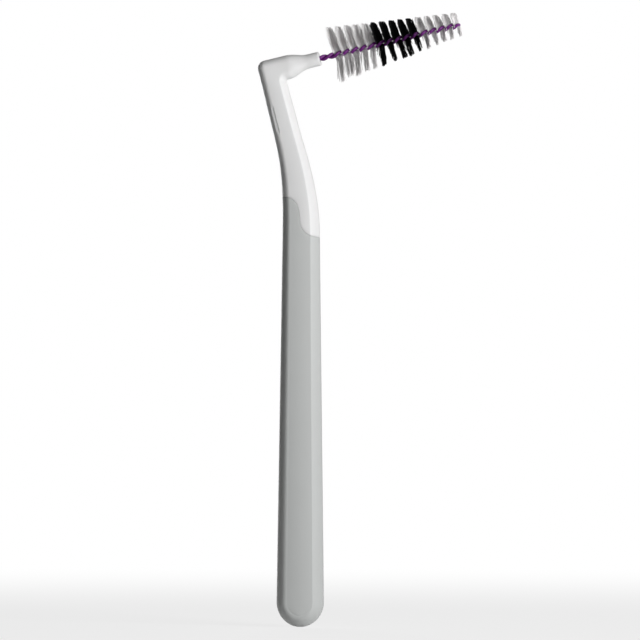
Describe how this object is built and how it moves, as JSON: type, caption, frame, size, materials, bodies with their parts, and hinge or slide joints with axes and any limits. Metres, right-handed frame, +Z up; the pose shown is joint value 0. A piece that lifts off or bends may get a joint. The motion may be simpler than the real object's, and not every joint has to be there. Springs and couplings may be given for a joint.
{
  "type": "interdental brush",
  "caption": "Angled interdental brush: long two-shot handle whose bent neck carries a tapered brush of nylon filaments in a twisted, coated wire",
  "frame": {"origin": "lowest point of the grip's round end, on the handle's centre line", "axes": "+X is the way the brush points, +Y is across the handle, +Z runs up the straight grip"},
  "size_m": [0.0386, 0.011, 0.1164],
  "materials": {
    "core_plastic": "satin injection-moulded polypropylene",
    "grip_elastomer": "satin overmoulded thermoplastic elastomer",
    "wire_steel": "drawn stainless wire",
    "wire_coat": "thin coloured plastic coating",
    "white_nylon": "natural white nylon filament",
    "black_nylon": "black nylon filament"
  },
  "bodies": {
    "root": {"handle_core": "core_plastic", "handle_grip": "grip_elastomer", "wire_core": "wire_steel", "wire_coating": "wire_coat", "rear_bristles": "white_nylon", "middle_bristles": "black_nylon", "tip_bristles": "white_nylon"}
  },
  "joints": []
}
